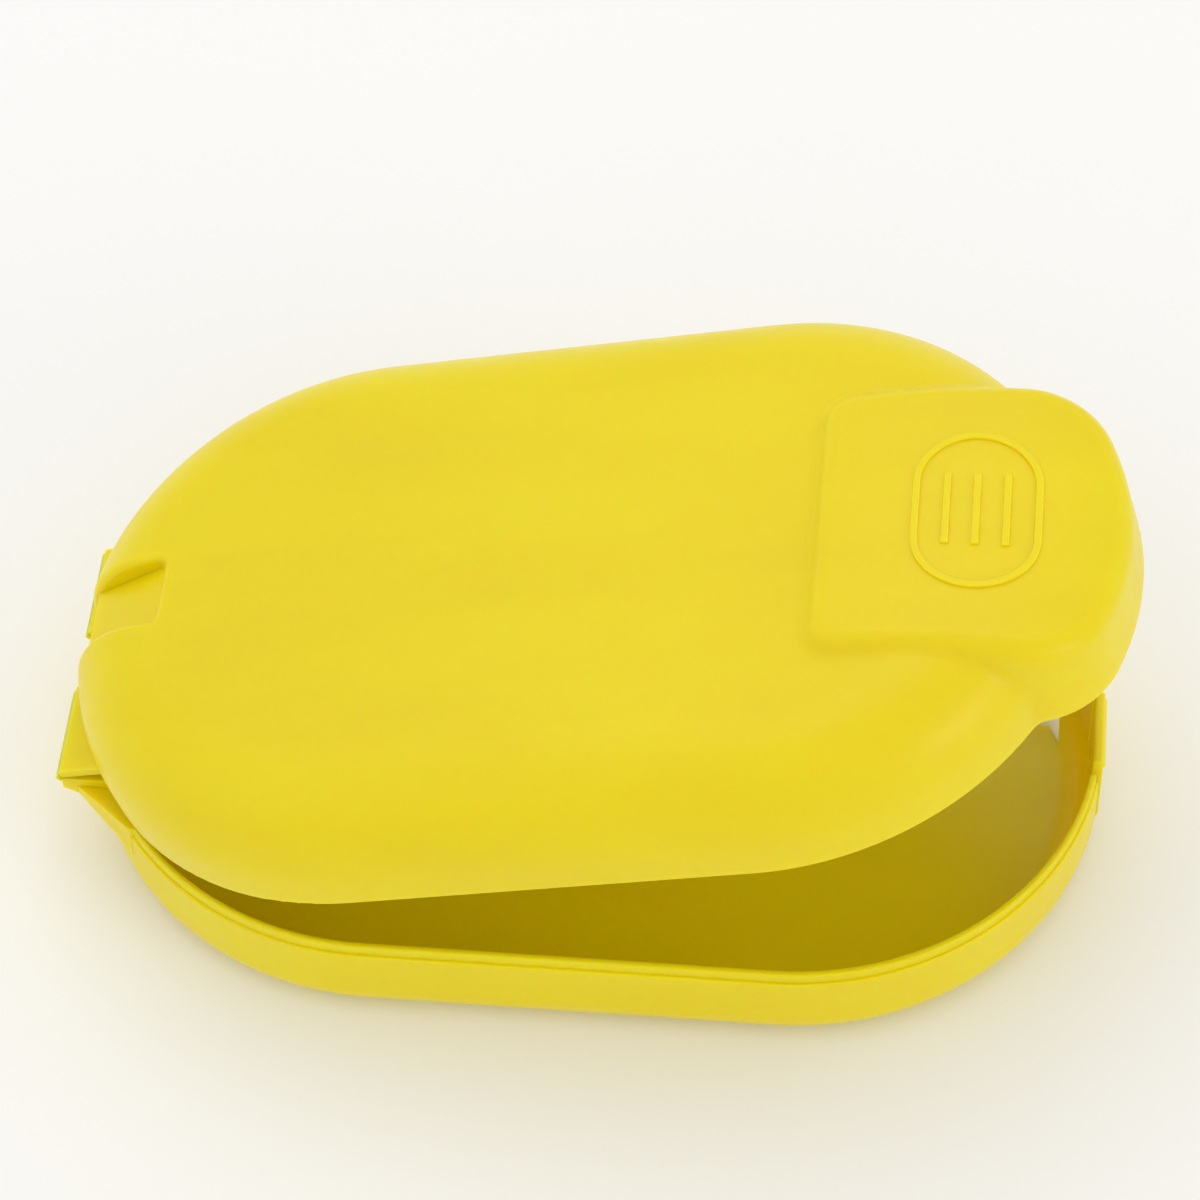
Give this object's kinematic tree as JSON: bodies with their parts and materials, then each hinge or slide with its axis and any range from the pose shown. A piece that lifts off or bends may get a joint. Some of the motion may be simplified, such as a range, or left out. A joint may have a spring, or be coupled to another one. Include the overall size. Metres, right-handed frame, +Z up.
{
  "type": "lip grip case",
  "caption": "Hinged clamshell for a fishing lip grip: oblong domed lid with a thumb hood, on a shallow tray, with living-hinge straps and a springy latch tongue.",
  "frame": {"origin": "on the resting surface, under the middle of the tray", "axes": "+X from the hinge towards the latch, +Y across, +Z up"},
  "size_m": [0.114, 0.067, 0.0506],
  "materials": {
    "shell": "satin moulded polypropylene, yellow, slightly translucent",
    "film": "thin folded polypropylene, paler where it is stressed"
  },
  "bodies": {
    "lower_shell": {"lower_shell": "shell"},
    "upper_shell": {"upper_shell": "shell"},
    "hinge_films": {"hinge_film_near": "film", "hinge_film_far": "film"},
    "latch_tongue": {"latch_tongue": "shell"}
  },
  "joints": [
    {"name": "lid_hinge", "type": "hinge", "parent": "lower_shell", "child": "upper_shell", "pos_m": [-0.0566, 0, 0.014], "axis": [0, -1, 0], "range_deg": [-14, 166]},
    {"name": "film_fold", "type": "hinge", "parent": "lower_shell", "child": "hinge_films", "pos_m": [-0.0566, 0, 0.014], "axis": [0, -1, 0], "range_deg": [-7, 83]},
    {"name": "tongue_flex", "type": "hinge", "parent": "lower_shell", "child": "latch_tongue", "pos_m": [0.05435, 0, 0.0046], "axis": [0, -1, 0], "range_deg": [0, 5], "stiffness_Nm_per_rad": 0.1}
  ],
  "couplings": [
    {"joint": "film_fold", "follows": "lid_hinge", "ratio": 0.5}
  ]
}
